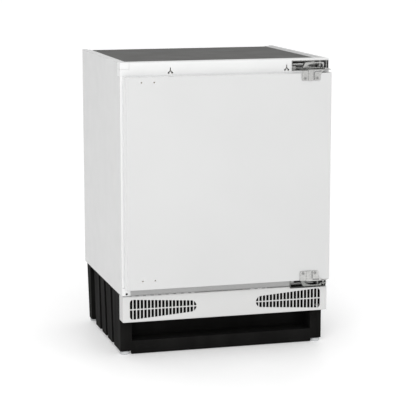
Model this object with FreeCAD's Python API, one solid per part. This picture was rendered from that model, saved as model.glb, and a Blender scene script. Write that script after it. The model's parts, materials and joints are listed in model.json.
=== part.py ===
import FreeCAD, Part
import math
import os

from FreeCAD import Vector

# Built-under refrigerator. Millimetres, +Z up, -Y is the front, +X the hinge side.
# The origin lies on the floor, under the middle of the whole appliance.

# Driving dimensions: the whole appliance
WIDTH = 595.0
HEIGHT = 818.0
DEPTH = 554.0
CABINET_FRONT = -231.0
CABINET_FLOOR = 175.0

# The insulated cabinet
SHEET = 0.8
WALL = 45.0
BACK_WALL = 50.0
CAVITY_LOW = 222.0
CAVITY_HIGH = 762.0
LINER = 1.6
STRIP_LOW = 781.0
STRIP_DEPTH = 32.0
RAIL_HIGH = 200.0
STILE = 18.0
RIM = 24.5
RIM_DROP = 1.6
TOP_PANEL_DROP = 3.0
CORNER_CAP_DROP = 18.0
WORKTOP_SLOTS = (-157.5, 174.0)
WORKTOP_SLOT_Z = 794.5
WORKTOP_SLOT_HALF = 1.3
WORKTOP_SLOT_FOOT = (4.9, 6.2)
CAP_WIDTH = 25.2
PLUG_WIDTH = 24.2
PLUG_DEPTH = 4.0
PLUG_HOLE = (-284.0, 181.5)
PLUG_HOLE_R = 3.4
SCREW_HEAD = 1.6
SCREW_R = 1.8
BACK_SCREWS = [(x, z) for x in (-265.0, 0.0, 265.0) for z in (195.0, 490.0, 790.0)]
DRAIN = (120.0, 205.0)
DRAIN_R = 4.5
DRAIN_WALL = 1.5

# The door
DOOR_INSET = 6.2
DOOR_LOW = 200.0
DOOR_HIGH = 781.5
DOOR_FRONT = -272.5
DOOR_THICK = 36.0
DOOR_SKIN = 0.8
GASKET_WIDTH = 15.0
GASKET_OUTSET = 277.5
GASKET_Z = (204.5, 777.5)
DOOR_PLUG_BACK = -217.0
PLUG_HALF = 230.0
DYKE = 20.0
BIN_HALF = 196.0
BINS = {"upper_door_bin": (636.0, 66.0, 74.0), "middle_door_bin": (512.0, 66.0, 74.0),
        "bottle_bin": (257.0, 92.0, 96.0)}
LUG_DROP = 16.0
HOOK_HALF = 207.5
SPARE_SCREWS = [(x, z) for x in (-213.0, -248.0) for z in (224.0, 767.0)]
FLANGE_SCREWS = [(x, z) for x in (213.0, 248.0) for z in (767.5, 220.0)]
FLANGE_SCREW_R = 2.2

# Inside the cabinet
SHELVES = (500.0, 630.0)
CRISPER_COVER = 386.0
GLASS = 4.0
CRISPER = (-222.0, 222.0, -50.0, 190.0, 222.5, 374.0)
HOUSING = (202.0, 252.5, -205.0, 20.0, 704.0, 752.0)
HOUSING_WALL = 2.2
DIAL_CENTRE = (202.0, -60.0, 728.0)
DIAL_R = 17.0
DIAL_SHAFT_R = 3.0
SWITCH_R = 4.0
SWITCH_CENTRE = (220.0, 728.0)
LAMP_WINDOW = (-175.0, -95.0)

# The plinth grille
GRILLE_FRONT = -237.0
GRILLE_LOW = 102.0
GRILLE_SKIN = 2.5
GRILLE_OUTER = 277.0
GRILLE_INNER = 86.5
GRILLE_COLUMNS = 19
GRILLE_BAR = 2.7
GRILLE_MIDDLE = 138.0
GRILLE_MIDDLE_BAR = 2.8
GRILLE_OUTER_HALF = 28.2
GRILLE_INNER_HALF = 16.5
GRILLE_CORNER = 9.0

# The black base
BASE_FRONT = -196.0
BASE_REAR = 255.0
BASE_REAR_LOW = 229.0
BASE_HALF = 295.5
BASE_LOW = 11.0
RAIL_LOW = 2.0
VENTS = (150.0, 168.0)
BASE_WALL = 24.0
RECESS_HALF = 262.5
RECESS_LOW = 39.5
RECESS_DEPTH = 62.0
GROOVE_DEPTH = 18.0
GROOVES = ((-83.0, -102.0, 24.0), (4.0, -21.0, 24.0), (77.0, 57.0, 26.0), (182.0, 163.0, 60.0))

# The machine compartment
PUMP = (120.0, 150.0)
PUMP_LOW = 27.0
PUMP_HIGH = 150.0
PUMP_R = 62.0
PUMP_FOOT = (78.0, 40.0)
CARRIER_Z = (17.0, 19.0)
CONDENSER_Z = 34.0
DRIER = (-20.0, 40.0, 62.0)
DRIER_LENGTH = 70.0
INLET_Y = (190.0, 226.0)
INLET_Z = (96.0, 124.0)

# Levelling feet
FOOT_R = 14.0
FOOT_THICK = 10.0
STEM_R = 4.0
STEM_FIT = 0.05
STEM_LENGTH = 34.0
FEET = {"front_left": (-281.0, -184.0), "front_right": (281.0, -184.0),
        "rear_left": (-281.0, 221.0), "rear_right": (281.0, 221.0)}

# Hinges. Heights count outwards from the door's edge.
CUP_LEFT = 188.5
CUP_NEAR = 3.5
CUP_FAR = 32.0
CUP_FAR_LOWER = 29.5
CUP_WALL = 1.2
CUP_FIT = 0.2
CUP_DIVIDER = (289.0, 290.4)
INNER_LINK = (5.1, 7.1)
FLANGE_PLATE = (7.5, 9.5)
FLANGE_PLATE_LOWER = (1.0, 3.0)
FLANGE_REACH = 20.0
FLANGE_REACH_LOWER = 26.0
OUTER_LINK = (9.9, 12.4)
ARCH_CROWN = 26.4
ARCH_SPAN = (220.0, 281.6)
PIN_R = 2.5
PIN_FIT = 0.05
POST_R = 3.0
SLOT_PIN_R = 2.0
SLOT_HALF = 2.35
SLOT_RUN = (4.37, -6.31)
FLANGE_SLIT = (237.6, 240.8)

SIDE = WIDTH / 2.0
REAR = DEPTH / 2.0
STRIP_BACK = CABINET_FRONT + STRIP_DEPTH
CAVITY_HALF = SIDE - WALL
CAVITY_BACK = REAR - BACK_WALL
DOOR_HALF = SIDE - DOOR_INSET
DOOR_BACK = DOOR_FRONT + DOOR_THICK
TOP_LEVEL = HEIGHT - TOP_PANEL_DROP
BACK_FACE = REAR - SCREW_HEAD
CUP_RIGHT = SIDE - 1.5
PIVOT_A = (SIDE - 21.5, CABINET_FRONT + 15.0)
PIVOT_B = (SIDE - 33.0, CABINET_FRONT + 13.0)
PIVOT_C = (SIDE - 22.0, CABINET_FRONT - 34.0)
PIVOT_D = (SIDE - 16.0, CABINET_FRONT - 25.0)
FLANGE_FRONT = DOOR_FRONT - 2.5
RIDGE_FRONT = -REAR
UP = Vector(0, 0, 1)
BACKWARD = Vector(0, 1, 0)
RIGHT = Vector(1, 0, 0)


def block(x0, x1, y0, y1, z0, z1):
    """A box between two corners."""
    return Part.makeBox(x1 - x0, y1 - y0, z1 - z0, Vector(x0, y0, z0))


def rod(radius, start, length, direction=UP):
    """A round bar from a start point."""
    return Part.makeCylinder(radius, length, Vector(*start), direction)


def joined(*shapes):
    """One solid out of touching or overlapping ones."""
    return shapes[0].multiFuse(list(shapes[1:])).removeSplitter()


def without(shape, *cutters):
    """The shape with every cutter taken away."""
    return shape.cut(Part.makeCompound(list(cutters))) if cutters else shape


def group(shapes):
    """Separate solids that share one node."""
    return Part.makeCompound(list(shapes))


def outline(points):
    """A flat face from its corner points."""
    corners = [Vector(*p) for p in points]
    return Part.Face(Part.makePolygon(corners + corners[:1]))


def plate_z(points, z0, z1):
    """A plate with an outline in X and Y."""
    return outline([(x, y, z0) for x, y in points]).extrude(Vector(0, 0, z1 - z0))


def plate_y(points, y0, y1):
    """A plate with an outline in X and Z."""
    return outline([(x, y0, z) for x, z in points]).extrude(Vector(0, y1 - y0, 0))


def plate_x(points, x0, x1):
    """A plate with an outline in Y and Z."""
    return outline([(x0, y, z) for y, z in points]).extrude(Vector(x1 - x0, 0, 0))


def softened(shape, direction, radius, test=None):
    """Rounds the straight edges that run along a direction."""
    chosen = []
    for edge in shape.Edges:
        ends = edge.Vertexes
        if len(ends) != 2 or edge.Curve.TypeId != "Part::GeomLine":
            continue
        along = ends[1].Point.sub(ends[0].Point)
        along.normalize()
        if abs(along.dot(direction)) > 0.999 and (test is None or test(edge.CenterOfMass)):
            chosen.append(edge)
    return shape.makeFillet(radius, chosen) if chosen else shape


def hollow(outer, inner):
    """A box given as six limits, less an inner one."""
    return without(block(*outer), block(*inner))


def mirrored(shape):
    """The left-hand copy of a right-hand shape."""
    return shape.mirror(Vector(0, 0, 0), RIGHT)


def capsule(start, end, radius, z0, z1):
    """A bar with round ends, lying flat between two points."""
    ax, ay = start
    bx, by = end
    length = math.hypot(bx - ax, by - ay)
    nx = -(by - ay) / length * radius
    ny = (bx - ax) / length * radius
    middle = plate_z([(ax + nx, ay + ny), (ax - nx, ay - ny), (bx - nx, by - ny), (bx + nx, by + ny)], z0, z1)
    return joined(middle, rod(radius, (ax, ay, z0), z1 - z0), rod(radius, (bx, by, z0), z1 - z0))


def save(name, shape):
    """Writes one node, after a look at its solids."""
    if not shape.isValid() or not shape.Solids:
        print("BAD SHAPE", name)
    shape.exportStep("parts/%s.step" % name)
    print("%-26s solids %2d  volume %9.0f" % (name, len(shape.Solids), shape.Volume))


# Cabinet shell

def side_panel():
    """Right-hand side: sheet, front stile, stepped top rim and rear fold."""
    inner = SIDE - SHEET
    notch = block(inner - 1, SIDE + 1, CABINET_FRONT - 1, STRIP_BACK, STRIP_LOW, HEIGHT + 1)
    sheet = without(block(inner, SIDE, CABINET_FRONT, REAR, CABINET_FLOOR, HEIGHT), notch)
    stile = block(SIDE - STILE, inner, CABINET_FRONT, CABINET_FRONT + SHEET, RAIL_HIGH, STRIP_LOW)
    middle = SIDE - RIM / 2.0
    high = HEIGHT - RIM_DROP
    rim = block(middle - SHEET, inner, STRIP_BACK, REAR, HEIGHT - SHEET, HEIGHT)
    step = block(middle - SHEET, middle, STRIP_BACK, REAR, high - SHEET, HEIGHT - SHEET)
    shelf = block(SIDE - RIM, middle - SHEET, STRIP_BACK, REAR, high - SHEET, high)
    lip = block(SIDE - RIM, SIDE - RIM + SHEET, STRIP_BACK, REAR, TOP_LEVEL - 3.0, high - SHEET)
    fold = block(SIDE - 12.0, inner, REAR - SHEET, REAR, CABINET_FLOOR, high - SHEET)
    return joined(sheet, stile, rim, step, shelf, lip, fold)


def worktop_slot(x):
    """Cutters for a three-legged slot: a stem and two legs that end in round holes."""
    y0, y1 = CABINET_FRONT - 1, CABINET_FRONT + 4
    z, half = WORKTOP_SLOT_Z, WORKTOP_SLOT_HALF
    spread, drop = WORKTOP_SLOT_FOOT
    cutters = [block(x - half, x + half, y0, y1, z, z + 8)]
    for side in (-1, 1):
        leg = block(-half, half, y0, y1, 0, math.hypot(spread, drop))
        leg.rotate(Vector(0, 0, 0), BACKWARD, -side * math.degrees(math.atan2(spread, drop)))
        leg.translate(Vector(x + side * spread, 0, z - drop))
        cutters += [leg, rod(2 * half, (x + side * spread, y0, z - drop), y1 - y0, BACKWARD)]
    return cutters


def top_front_strip():
    """White moulding above the door, hollow towards the foam."""
    outer = block(-SIDE, SIDE, CABINET_FRONT, STRIP_BACK, STRIP_LOW, HEIGHT)
    outer = softened(outer, RIGHT, 2.5, lambda c: c.y < CABINET_FRONT + 1 and c.z > HEIGHT - 1)
    pocket = block(-SIDE + 2, SIDE - 1.4, CABINET_FRONT + 2.5, STRIP_BACK + 1, STRIP_LOW + 2, HEIGHT - 2.5)
    corner = block(-SIDE - 1, -SIDE + CAP_WIDTH + 0.3, CABINET_FRONT - 1, STRIP_BACK + 1,
                   HEIGHT - CORNER_CAP_DROP, HEIGHT + 1)
    cup = block(CUP_LEFT, CUP_RIGHT, CABINET_FRONT - 1, STRIP_BACK + 1,
                DOOR_HIGH + CUP_NEAR, DOOR_HIGH + CUP_FAR)
    slots = [cutter for x in WORKTOP_SLOTS for cutter in worktop_slot(x)]
    return without(outer, pocket, corner, cup, *slots)


def strip_corner_cap():
    """Closes the strip's left end above its body."""
    shape = block(-SIDE, -SIDE + CAP_WIDTH, CABINET_FRONT, STRIP_BACK, HEIGHT - CORNER_CAP_DROP + 0.3, HEIGHT)
    shape = softened(shape, RIGHT, 2.5, lambda c: c.y < CABINET_FRONT + 1 and c.z > HEIGHT - 1)
    pocket = block(-SIDE + 2, -SIDE + CAP_WIDTH + 1, CABINET_FRONT + 2.5, STRIP_BACK + 1,
                   HEIGHT - CORNER_CAP_DROP, HEIGHT - 2.5)
    return without(shape, pocket)


def lower_crossrail():
    """Galvanised channel under the door, open for the lower hinge."""
    right = SIDE - SHEET
    rail = hollow((-right, right, CABINET_FRONT + 1, STRIP_BACK, CABINET_FLOOR, RAIL_HIGH),
                  (-right - 1, right + 1, CABINET_FRONT + 2.2, STRIP_BACK + 1,
                   CABINET_FLOOR + 1.2, RAIL_HIGH - 1.2))
    cover = block(-SIDE, -SIDE + PLUG_WIDTH + 0.3, CABINET_FRONT - 1, CABINET_FRONT + PLUG_DEPTH,
                  CABINET_FLOOR + 1, RAIL_HIGH - 1)
    cup = block(CUP_LEFT, CUP_RIGHT + 2, CABINET_FRONT - 1, STRIP_BACK + 1,
                CABINET_FLOOR - 1, DOOR_LOW - CUP_NEAR)
    return without(rail, cover, cup)


def rail_corner_cover():
    """White square plug with a round hole, left of the lower rail."""
    shape = block(-SIDE + SHEET, -SIDE + PLUG_WIDTH, CABINET_FRONT, CABINET_FRONT + PLUG_DEPTH,
                  CABINET_FLOOR + 1, RAIL_HIGH - 1)
    x, z = PLUG_HOLE
    return without(shape, rod(PLUG_HOLE_R, (x, CABINET_FRONT - 1, z), PLUG_DEPTH + 2, BACKWARD))


def back_panel():
    sheet = block(-SIDE + 12.3, SIDE - 12.3, BACK_FACE - 1, BACK_FACE, CABINET_FLOOR, TOP_LEVEL - 3.2)
    holes = [rod(SCREW_R, (x, REAR - 5, z), 6, BACKWARD) for x, z in BACK_SCREWS]
    return without(sheet, *holes)


def insulation_foam():
    """Fills the room between the liner and the outer sheets."""
    inner = SIDE - SHEET
    body = block(-inner, inner, CABINET_FRONT + LINER, BACK_FACE - 1, CABINET_FLOOR + SHEET, TOP_LEVEL - 1.0)
    cavity = block(-CAVITY_HALF - LINER, CAVITY_HALF + LINER, CABINET_FRONT - 1, CAVITY_BACK + LINER,
                   CAVITY_LOW - LINER, CAVITY_HIGH + LINER)
    strip = block(-SIDE, SIDE, CABINET_FRONT, STRIP_BACK + 0.2, STRIP_LOW - 0.2, HEIGHT)
    rail = block(-SIDE, SIDE, CABINET_FRONT, STRIP_BACK + 0.2, CABINET_FLOOR, RAIL_HIGH + 0.2)
    drain = rod(DRAIN_R + DRAIN_WALL, (*DRAIN, CABINET_FLOOR - 1), CAVITY_LOW)
    rim = block(SIDE - RIM - 0.2, SIDE, STRIP_BACK, REAR, TOP_LEVEL - 3.2, HEIGHT)
    fold = block(SIDE - 12.2, SIDE, REAR - 1.2, REAR, 0, HEIGHT)
    screws = [rod(SCREW_R, (x, REAR - 16, z), 17, BACKWARD) for x, z in BACK_SCREWS]
    return without(body, cavity, strip, rail, drain, rim, mirrored(rim), fold, mirrored(fold), *screws)


def inner_liner():
    """White tub with a front flange and ribs that carry the shelves."""
    h, low, high = CAVITY_HALF, CAVITY_LOW, CAVITY_HIGH
    tub = hollow((-h - LINER, h + LINER, CABINET_FRONT, CAVITY_BACK + LINER, low - LINER, high + LINER),
                 (-h, h, CABINET_FRONT - 1, CAVITY_BACK, low, high))
    flange = block(-SIDE + STILE, SIDE - STILE, CABINET_FRONT, CABINET_FRONT + LINER, RAIL_HIGH, STRIP_LOW)
    flange = without(flange, block(-h, h, CABINET_FRONT - 1, CABINET_FRONT + 5, low, high))
    ribs = []
    for level in SHELVES + (CRISPER_COVER,):
        rib = block(h - 8, h, -140, 205, level - 6, level)
        ribs += [rib, mirrored(rib)]
    shape = joined(tub, flange, *ribs)
    return without(shape, rod(DRAIN_R, (*DRAIN, low - 5), 10))


def glass_plate(level):
    """One pane that lies on a pair of ribs."""
    return block(-248, 248, -124, 203, level, level + GLASS)


def shelf_trims():
    """Plastic profiles on the front and rear edges of the glass plates."""
    trims = []
    for level in SHELVES + (CRISPER_COVER,):
        front = block(-244, 244, -132, -116, level - 2.5, level + GLASS + 2.5)
        rear = block(-240, 240, 197, 208, level - 0.1, level + GLASS + 8)
        slot = glass_plate(level)
        trims += [without(front, slot), without(rear, slot)]
    return group(trims)


# Fittings inside

def thermostat_housing():
    x0, x1, y0, y1, z0, z1 = HOUSING
    shape = softened(block(*HOUSING), BACKWARD, 6.0, lambda c: c.x < x0 + 1)
    w = HOUSING_WALL
    inner = block(x0 + w, x1 + 1, y0 + w, y1 - w, z0 + w, z1 - w)
    bore = rod(DIAL_SHAFT_R + 0.05, (x0 - 1, DIAL_CENTRE[1], DIAL_CENTRE[2]), 6, RIGHT)
    guide = rod(SWITCH_R + 0.3, (SWITCH_CENTRE[0], y0 - 1, SWITCH_CENTRE[1]), 6, BACKWARD)
    lens = block(x0 - 1, x0 + 4, *LAMP_WINDOW, z0 + 9, z1 - 9)
    return without(shape, inner, bore, guide, lens)


def lamp_cover():
    x0, z0, z1 = HOUSING[0], HOUSING[4], HOUSING[5]
    front, back = LAMP_WINDOW
    plate = block(x0 - 1.5, x0 + HOUSING_WALL, front + 0.2, back - 0.2, z0 + 9.2, z1 - 9.2)
    return softened(plate, BACKWARD, 1.2, lambda c: c.x < x0)


def lamp_board():
    x0, z0, z1 = HOUSING[0], HOUSING[4], HOUSING[5]
    front, back = LAMP_WINDOW
    board = block(x0 + 8, x0 + 9.6, front + 3, back - 3, z0 + 10, z1 - 10)
    low, high = (z0 + z1) / 2 - 3, (z0 + z1) / 2 + 3
    chips = [block(x0 + 6.6, x0 + 8, y - 3, y + 3, low, high) for y in (front + 20, front + 40, back - 20)]
    posts = [block(x0 + 9.6, CAVITY_HALF, y - 3, y + 3, low, high) for y in (front + 10, back - 10)]
    return joined(board, *chips, *posts)


def thermostat_dial():
    x, y, z = DIAL_CENTRE
    knob = rod(DIAL_R, (x - 10.4, y, z), 10.0, RIGHT)
    knob = joined(knob, rod(DIAL_SHAFT_R, (x - 1, y, z), 14, RIGHT))
    ridge = block(x - 14.0, x - 10.0, y - 2.5, y + 2.5, z - DIAL_R + 2, z + DIAL_R - 2)
    return joined(knob, ridge)


def light_switch():
    x, z = SWITCH_CENTRE
    tip = DOOR_PLUG_BACK + 0.4
    stem = rod(SWITCH_R, (x, tip, z), HOUSING[2] + 14 - tip, BACKWARD)
    return joined(stem, rod(SWITCH_R + 2.5, (x, HOUSING[2] + 10, z), 4, BACKWARD))


def evaporator_plate():
    plate = block(-180, 180, CAVITY_BACK - 5, CAVITY_BACK, 420, 740)
    tube = [block(-150, 150, CAVITY_BACK - 8, CAVITY_BACK - 4.9, z, z + 7) for z in range(450, 721, 45)]
    return joined(softened(plate, BACKWARD, 12), *tube)


def tub(limits, wall, radius):
    """An open box with rounded upright corners."""
    x0, x1, y0, y1, z0, z1 = limits
    outer = softened(block(*limits), UP, radius)
    inner = block(x0 + wall, x1 - wall, y0 + wall, y1 - wall, z0 + wall, z1 + 1)
    return without(outer, softened(inner, UP, radius - wall / 2))


def crisper_drawer():
    """Clear tub with a grip lip along its front."""
    x0, x1, y0, y1, z0, z1 = CRISPER
    lip = block(x0 + 30, x1 - 30, y0 - 8, y0 + 1, z1 - 22, z1 - 19.5)
    edge = block(x0 + 30, x1 - 30, y0 - 8, y0 - 5.5, z1 - 19.5, z1 - 10)
    return joined(tub(CRISPER, 2.4, 12.0), lip, edge)


# Door

def screw_bores(depth):
    """The door's screw holes: the pairs in use on the right and the spare ones on the left."""
    start = DOOR_FRONT - 1
    used = [rod(FLANGE_SCREW_R, (x, start, z), depth, BACKWARD) for x, z in FLANGE_SCREWS]
    return used + [rod(SCREW_R, (x, start, z), depth, BACKWARD) for x, z in SPARE_SCREWS]


def door_panel():
    """Folded outer sheet of the door with its screw holes."""
    outer = (-DOOR_HALF, DOOR_HALF, DOOR_FRONT, DOOR_BACK - 2, DOOR_LOW, DOOR_HIGH)
    shape = softened(block(*outer), UP, 2.0, lambda c: c.y < DOOR_FRONT + 1)
    inner = block(-DOOR_HALF + DOOR_SKIN, DOOR_HALF - DOOR_SKIN, DOOR_FRONT + DOOR_SKIN, DOOR_BACK,
                  DOOR_LOW - 1, DOOR_HIGH + 1)
    return without(shape, inner, *screw_bores(4))


def door_end_caps():
    """Plastic bars that close the door's top and bottom."""
    half = DOOR_HALF - DOOR_SKIN
    front, back = DOOR_FRONT + DOOR_SKIN, DOOR_BACK - 2
    top = block(-half, half, front, back, DOOR_HIGH - 10, DOOR_HIGH)
    bottom = block(-half, half, front, back, DOOR_LOW, DOOR_LOW + 10)
    return group([top, bottom])


def door_foam():
    half = DOOR_HALF - DOOR_SKIN
    body = block(-half, half, DOOR_FRONT + DOOR_SKIN, DOOR_BACK - 2, DOOR_LOW + 10, DOOR_HIGH - 10)
    return without(body, *screw_bores(16))


def door_liner():
    """Inner face of the door: a sheet with two upright dykes and cross walls that carry the bins."""
    sheet = block(-DOOR_HALF, DOOR_HALF, DOOR_BACK - 2, DOOR_BACK, DOOR_LOW, DOOR_HIGH)
    z0, z1 = CAVITY_LOW + 12, CAVITY_HIGH - 12
    pieces = [sheet]
    for x0 in (PLUG_HALF - DYKE, -PLUG_HALF):
        dyke = block(x0, x0 + DYKE, DOOR_BACK, DOOR_PLUG_BACK, z0, z1)
        pieces.append(softened(dyke, UP, 5.0, lambda c: c.y > DOOR_PLUG_BACK - 1))
    inner = PLUG_HALF - DYKE
    for z in (z0, z1 - DYKE):
        pieces.append(block(-inner, inner, DOOR_BACK, DOOR_PLUG_BACK, z, z + DYKE))
    for low, _, _ in BINS.values():
        lug = block(inner - 7.0, inner, DOOR_BACK, DOOR_PLUG_BACK - 2, low + LUG_DROP, low + LUG_DROP + 12)
        pieces += [lug, mirrored(lug)]
    return joined(*pieces)


def door_gasket():
    """Soft ring that stays just clear of the cabinet's front."""
    x0 = GASKET_OUTSET
    z0, z1 = GASKET_Z
    ring = block(-x0, x0, DOOR_BACK, CABINET_FRONT - 0.6, z0, z1)
    ring = softened(ring, BACKWARD, 4.0)
    w = GASKET_WIDTH
    return without(ring, block(-x0 + w, x0 - w, DOOR_BACK - 1, CABINET_FRONT, z0 + w, z1 - w))


def door_bin(low, height, depth):
    """Tub with a hook on each side that drops over a lug of the door."""
    back = DOOR_BACK + 3.0
    shape = tub((-BIN_HALF, BIN_HALF, back, back + depth, low, low + height), 2.2, 10.0)
    seat = low + LUG_DROP + 12.4
    inner, plug = BIN_HALF - 2.2, DOOR_PLUG_BACK
    hook = block(inner, HOOK_HALF, back, plug + 1.5, seat, seat + 14)
    lip = block(inner, HOOK_HALF, plug - 1.5, plug + 1.5, low + LUG_DROP, seat)
    return joined(shape, hook, lip, mirrored(hook), mirrored(lip))


# Hinges. They are drawn at the door's top edge with heights counted up from it,
# and the lower one is the same set turned over under the door's bottom edge.

def on_door(shape, upper):
    """Moves a hinge piece to the top of the door, or turns it over to the bottom."""
    if upper:
        return shape.translated(Vector(0, 0, DOOR_HIGH))
    return shape.mirror(Vector(0, 0, 0), UP).translated(Vector(0, 0, DOOR_LOW))


def hinge_cup(far):
    """Open-fronted steel box in the cabinet, with a divider near its right end."""
    y0, y1 = CABINET_FRONT - 0.8, STRIP_BACK - 0.3
    left, right = CUP_LEFT + CUP_FIT, CUP_RIGHT - CUP_FIT
    near = CUP_NEAR + CUP_FIT
    far = far - CUP_FIT
    shape = hollow((left, right, y0, y1, near, far),
                   (left + 1.4, right - 1.4, y0 - 1, y1 - 1.4, near + CUP_WALL, far - CUP_WALL))
    divider = block(*CUP_DIVIDER, y0, y1, near + CUP_WALL, far - CUP_WALL)
    ear = block(left + 1.4, left + 12, y0 + 2, y0 + 3.4, near + CUP_WALL, near + 12)
    shape = joined(shape, divider, ear)
    return without(shape, rod(PIN_R, (*PIVOT_B, 0), 6), rod(1.5, (left + 6.5, y0, near + 6.5), 5, BACKWARD))


def pivot_posts(far):
    """Pins that the two links turn on: A hangs from the far wall, B stands on the near wall."""
    ax, ay = PIVOT_A
    bx, by = PIVOT_B
    low, high = OUTER_LINK
    roof = far - CUP_FIT - CUP_WALL
    post = joined(rod(POST_R, (ax, ay, low - 0.4), roof - low + 0.4), rod(4.8, (ax, ay, low - 1.4), 1.0),
                  rod(4.8, (ax, ay, high + 0.4), roof - high - 0.4))
    pin = joined(rod(PIN_R, (bx, by, CUP_NEAR + CUP_FIT), INNER_LINK[1] - CUP_NEAR + 0.2),
                 rod(4.5, (bx, by, INNER_LINK[1] + 0.4), 1.0))
    return [post, pin]


def outer_link():
    """Flat arm with an upright web along the cup's mouth, pierced by an arched window."""
    low, high = OUTER_LINK
    arm = capsule(PIVOT_A, PIVOT_C, 6.5, low, high)
    y0 = CABINET_FRONT - 3.2
    y1 = y0 + 2.0
    left, right = ARCH_SPAN
    crown = ARCH_CROWN
    foot = block(left, PIVOT_A[0], y0 - 3, y1, low, high)
    web = plate_y([(left, low), (right, low), (right, crown - 2), (right - 2, crown), (left + 9, crown),
                   (left + 6, crown - 2), (left, low + 3)], y0, y1)
    window = plate_y([(left + 10, high), (right - 3.5, high), (right - 3.5, crown - 6),
                      (right - 7, crown - 3.3), (left + 32, crown - 3.3), (left + 24, crown - 4.6),
                      (left + 17, crown - 7.2), (left + 12.5, crown - 10.5)], y0 - 1, y1 + 1)
    arm = joined(arm, foot, without(web, window))
    return without(arm, rod(POST_R + PIN_FIT, (*PIVOT_A, 0), 40), rod(PIN_R + PIN_FIT, (*PIVOT_C, 0), 40))


def inner_link(plate):
    """Flat arm with a solid pin at its free end, which runs in the slot of the flange's plate."""
    arm = capsule(PIVOT_B, PIVOT_D, 5.5, *INNER_LINK)
    arm = without(arm, rod(PIN_R + PIN_FIT, (*PIVOT_B, 0), 12))
    low, high = min(INNER_LINK[0], plate[0] + 0.2), max(INNER_LINK[1], plate[1] - 0.2)
    pin = rod(SLOT_PIN_R, (*PIVOT_D, low), high - low)
    return joined(arm, pin)


def hinge_flange(plate_levels, reach):
    """Bracket screwed to the door's front, with a plate that reaches back to the links."""
    low, high = plate_levels
    front = plate_y([(204, -reach), (257, -reach), (257, low - 13), (262, low - 5), (271, high), (222, high),
                     (222, low), (204, low)], FLANGE_FRONT, DOOR_FRONT)
    front = softened(front, BACKWARD, 3.0, lambda c: c.z < 1 - reach)
    ridge = plate_y([(222, -reach), (237, -reach), (237, high), (222, high)], RIDGE_FRONT, FLANGE_FRONT)
    ridge = softened(ridge, UP, 1.6, lambda c: c.y < RIDGE_FRONT + 0.5)
    plate = plate_z([(222, FLANGE_FRONT), (271, FLANGE_FRONT), (291, -266), (291, -252), (286, -248),
                     (270, -250), (262, -256), (222, -262)], low, high)
    shape = joined(front, ridge, plate)
    x, y = PIVOT_D
    end = (x + SLOT_RUN[0], y + SLOT_RUN[1])
    slot = capsule((x, y), end, SLOT_HALF, low - 1, high + 1)
    x0, x1 = FLANGE_SLIT
    slit = plate_y([(x0, -reach - 1), (x1, -reach - 1), (x1, low - 7.5), (x1 + 3, low - 4), (260, low - 4),
                    (260, low - 1), (x0 + 4, low - 1), (x0, low - 5.5)], FLANGE_FRONT - 1, DOOR_FRONT + 1)
    screws = [rod(FLANGE_SCREW_R, (x, FLANGE_FRONT - 1, 6 - reach), 6, BACKWARD)
              for x in sorted({x for x, _ in FLANGE_SCREWS})]
    return without(shape, slot, slit, rod(PIN_R, (*PIVOT_C, 0), 20), *screws)


def flange_pin(low):
    """Rivet through the flange's plate that the outer link's free end turns on."""
    x, y = PIVOT_C
    top = OUTER_LINK[1] + 0.4
    return joined(rod(PIN_R, (x, y, low), top - low), rod(4.5, (x, y, top), 1.2))


def hinge_spring():
    """Closed coil with its end caps, lying in the cup's left part."""
    z = 20.0
    y = CABINET_FRONT + 13.0
    coil = rod(7.0, (194.0, y, z), 30, RIGHT)
    grooves = [without(rod(8.0, (x, y, z), 1.2, RIGHT), rod(6.0, (x, y, z), 1.2, RIGHT))
               for x in range(197, 222, 3)]
    guide = rod(3.0, (190.2, y, z), 72, RIGHT)
    return joined(without(coil, *grooves), guide, rod(4.5, (240, y, z), 20, RIGHT))


def cup_screw():
    """Countersunk screw through the ear of a cup."""
    y0 = CABINET_FRONT - 0.8
    x, z = CUP_LEFT + CUP_FIT + 6.5, CUP_NEAR + CUP_FIT + 6.5
    return joined(rod(1.5, (x, y0 + 1.0, z), 8, BACKWARD), rod(3.2, (x, y0 + 0.4, z), 1.6, BACKWARD))


def flange_screw(x, z):
    """Pan-head screw with a cross recess."""
    head = rod(4.0, (x, FLANGE_FRONT - 1.8, z), 1.8, BACKWARD)
    shank = rod(FLANGE_SCREW_R, (x, FLANGE_FRONT, z), 14, BACKWARD)
    cross = [block(x - 2.2, x + 2.2, FLANGE_FRONT - 2, FLANGE_FRONT - 0.9, z - 0.5, z + 0.5),
             block(x - 0.5, x + 0.5, FLANGE_FRONT - 2, FLANGE_FRONT - 0.9, z - 2.2, z + 2.2)]
    return without(joined(head, shank), *cross)


# Plinth grille

def circle_hull(circles, y0, y1, steps=24):
    """A plate whose outline wraps tightly round several circles."""
    points = []
    for x, z, radius in circles:
        for i in range(steps):
            turn = 2 * math.pi * i / steps
            points.append((x + radius * math.cos(turn), z + radius * math.sin(turn)))
    points.sort()

    def side_of(ordered):
        chain = []
        for p in ordered:
            while len(chain) > 1:
                a, b = chain[-2], chain[-1]
                if (b[0] - a[0]) * (p[1] - a[1]) - (b[1] - a[1]) * (p[0] - a[0]) > 1e-9:
                    break
                chain.pop()
            chain.append(p)
        return chain[:-1]

    return plate_y(side_of(points) + side_of(points[::-1]), y0, y1)


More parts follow.
